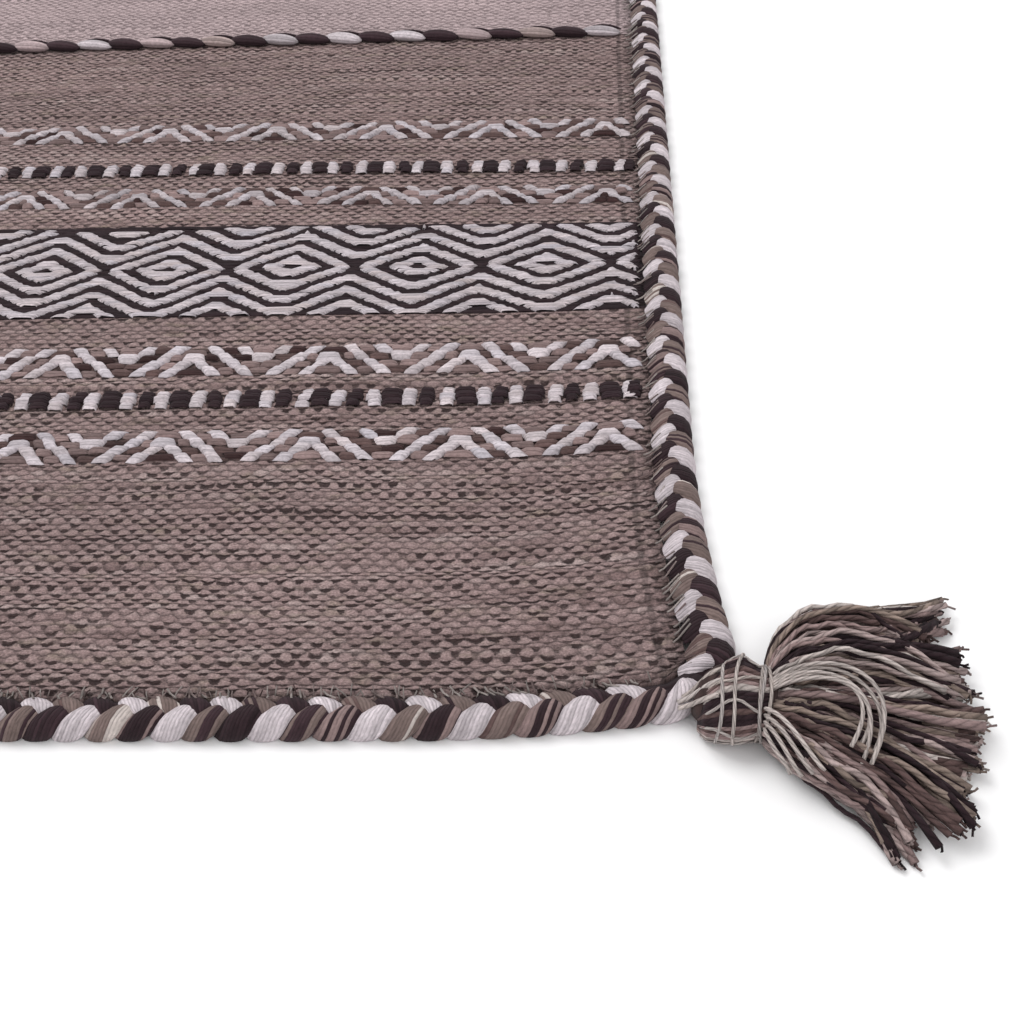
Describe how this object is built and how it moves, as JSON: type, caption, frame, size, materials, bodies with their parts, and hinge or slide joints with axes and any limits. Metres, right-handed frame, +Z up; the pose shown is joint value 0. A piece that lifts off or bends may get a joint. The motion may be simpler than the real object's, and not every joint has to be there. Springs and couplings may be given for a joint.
{
  "type": "kilim rug",
  "caption": "Flat-woven kilim rug lying flat, with raised patterned bands, twisted cords across it, a plaited edging on every side and a yarn tassel at every corner.",
  "frame": {"origin": "on the floor, under the middle of the rug", "axes": "+X across the rug, +Y along its length, +Z up out of its face"},
  "size_m": [1.3934, 1.9112, 0.023],
  "materials": {
    "woven_field": "coarse taupe flatweave with black and off-white floats, matt",
    "twisted_cord": "two-colour twisted yarn, dark brown and pale greige, matt",
    "plaited_edging": "plaited yarn bundles in dark brown, off-white and taupe, matt",
    "tassel_yarn": "loose twisted yarn in taupe, brown and cream, matt"
  },
  "bodies": {
    "root": {"field": "woven_field", "cord_front": "twisted_cord", "cord_back": "twisted_cord", "edging_front": "plaited_edging", "edging_right": "plaited_edging", "edging_back": "plaited_edging", "edging_left": "plaited_edging", "tassel_front_right": "tassel_yarn", "tassel_front_left": "tassel_yarn", "tassel_back_right": "tassel_yarn", "tassel_back_left": "tassel_yarn"}
  },
  "joints": []
}
